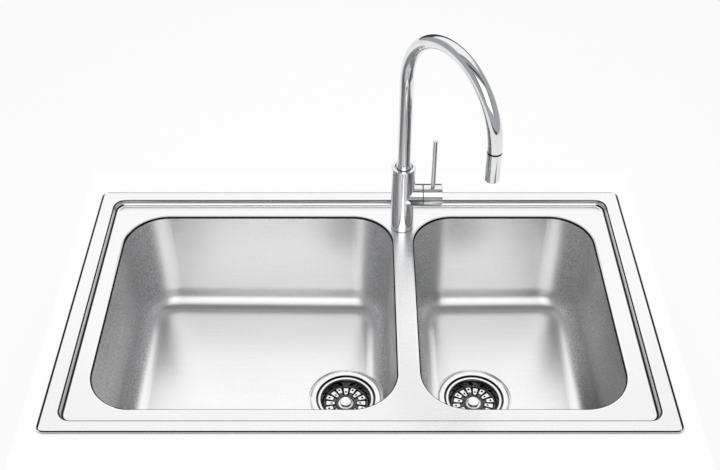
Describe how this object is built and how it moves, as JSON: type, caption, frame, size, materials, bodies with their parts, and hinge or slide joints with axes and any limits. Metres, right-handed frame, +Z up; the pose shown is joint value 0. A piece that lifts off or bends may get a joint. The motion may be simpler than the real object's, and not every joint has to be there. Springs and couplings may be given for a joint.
{
  "type": "double bowl kitchen sink",
  "caption": "Inset stainless steel kitchen sink with a large and a small bowl, basket strainer wastes and a high-arch swivel tap with pull-out spray and side lever",
  "frame": {"origin": "centre of the sink's outline, on the worktop's surface that the rim's seal rests on", "axes": "+X to the right along the sink's length, +Y to the back where the tap stands, +Z up"},
  "size_m": [0.86, 0.5, 0.6624],
  "materials": {
    "sink_steel": "satin brushed stainless steel",
    "strainer_steel": "polished stainless steel",
    "chrome": "polished chrome plating",
    "clip_steel": "zinc-plated steel",
    "screw_steel": "dark steel",
    "brass": "turned brass",
    "foam_seal": "closed-cell foam strip",
    "pad_rubber": "bitumen rubber pad",
    "black_rubber": "moulded black rubber",
    "waste_plastic": "moulded polypropylene",
    "black_plastic": "moulded acetal",
    "white_plastic": "moulded acetal"
  },
  "bodies": {
    "sink": {"sink_deck": "sink_steel", "large_bowl": "sink_steel", "small_bowl": "sink_steel", "rim_seal": "foam_seal", "large_sound_pad": "pad_rubber", "small_sound_pad": "pad_rubber", "clip_brackets": "clip_steel", "clip_claws": "clip_steel", "clip_screws": "clip_steel", "large_strainer_flange": "strainer_steel", "large_flange_gasket": "black_rubber", "large_waste_seal": "black_rubber", "large_waste_body": "waste_plastic", "large_waste_screw": "strainer_steel", "small_strainer_flange": "strainer_steel", "small_flange_gasket": "black_rubber", "small_waste_seal": "black_rubber", "small_waste_body": "waste_plastic", "small_waste_screw": "strainer_steel", "tap_body": "chrome", "tap_base_gasket": "black_rubber", "tap_shank": "brass", "shank_rubber_washer": "black_rubber", "shank_steel_washer": "clip_steel", "shank_nut": "brass", "inlet_manifold": "brass", "spout_bearing": "black_plastic", "spout_screw": "screw_steel", "cartridge": "white_plastic", "cartridge_nut": "brass", "temperature_ring": "black_plastic", "dome_ring": "chrome"},
    "spout": {"spout_pipe": "chrome", "spout_collar": "chrome", "dock_ring": "black_plastic"},
    "spray": {"spray_head": "chrome", "spray_core": "white_plastic", "spray_aerator": "white_plastic", "pullout_hose": "black_rubber"},
    "cartridge_core": {"cartridge_carrier": "white_plastic", "stem_pin": "screw_steel"},
    "handle": {"cartridge_stem": "brass", "handle_cap": "chrome", "handle_end_plate": "chrome", "lever_rod": "chrome", "handle_screw": "screw_steel"},
    "large_basket_body": {"large_basket": "strainer_steel", "large_basket_knob": "strainer_steel", "large_basket_seal": "black_rubber"},
    "small_basket_body": {"small_basket": "strainer_steel", "small_basket_knob": "strainer_steel", "small_basket_seal": "black_rubber"}
  },
  "joints": [
    {"name": "spout_swivel", "type": "hinge", "parent": "sink", "child": "spout", "pos_m": [0.068, 0.175, 0.115], "axis": [0, 0, 1], "continuous": true},
    {"name": "spray_pull", "type": "slide", "parent": "spout", "child": "spray", "axis": [0, 0, -1], "range_m": [0, 0.13], "deforming": ["pullout_hose"]},
    {"name": "handle_turn", "type": "hinge", "parent": "sink", "child": "cartridge_core", "pos_m": [0.0902, 0.175, 0.0584], "axis": [1, 0, 0], "range_deg": [-50, 50]},
    {"name": "handle_tilt", "type": "hinge", "parent": "cartridge_core", "child": "handle", "pos_m": [0.0902, 0.175, 0.0584], "axis": [0, 1, 0], "range_deg": [0, 25]},
    {"name": "large_basket_lift", "type": "slide", "parent": "sink", "child": "large_basket_body", "axis": [0, 0, 1], "range_m": [0, 0.25]},
    {"name": "small_basket_lift", "type": "slide", "parent": "sink", "child": "small_basket_body", "axis": [0, 0, 1], "range_m": [0, 0.25]}
  ]
}
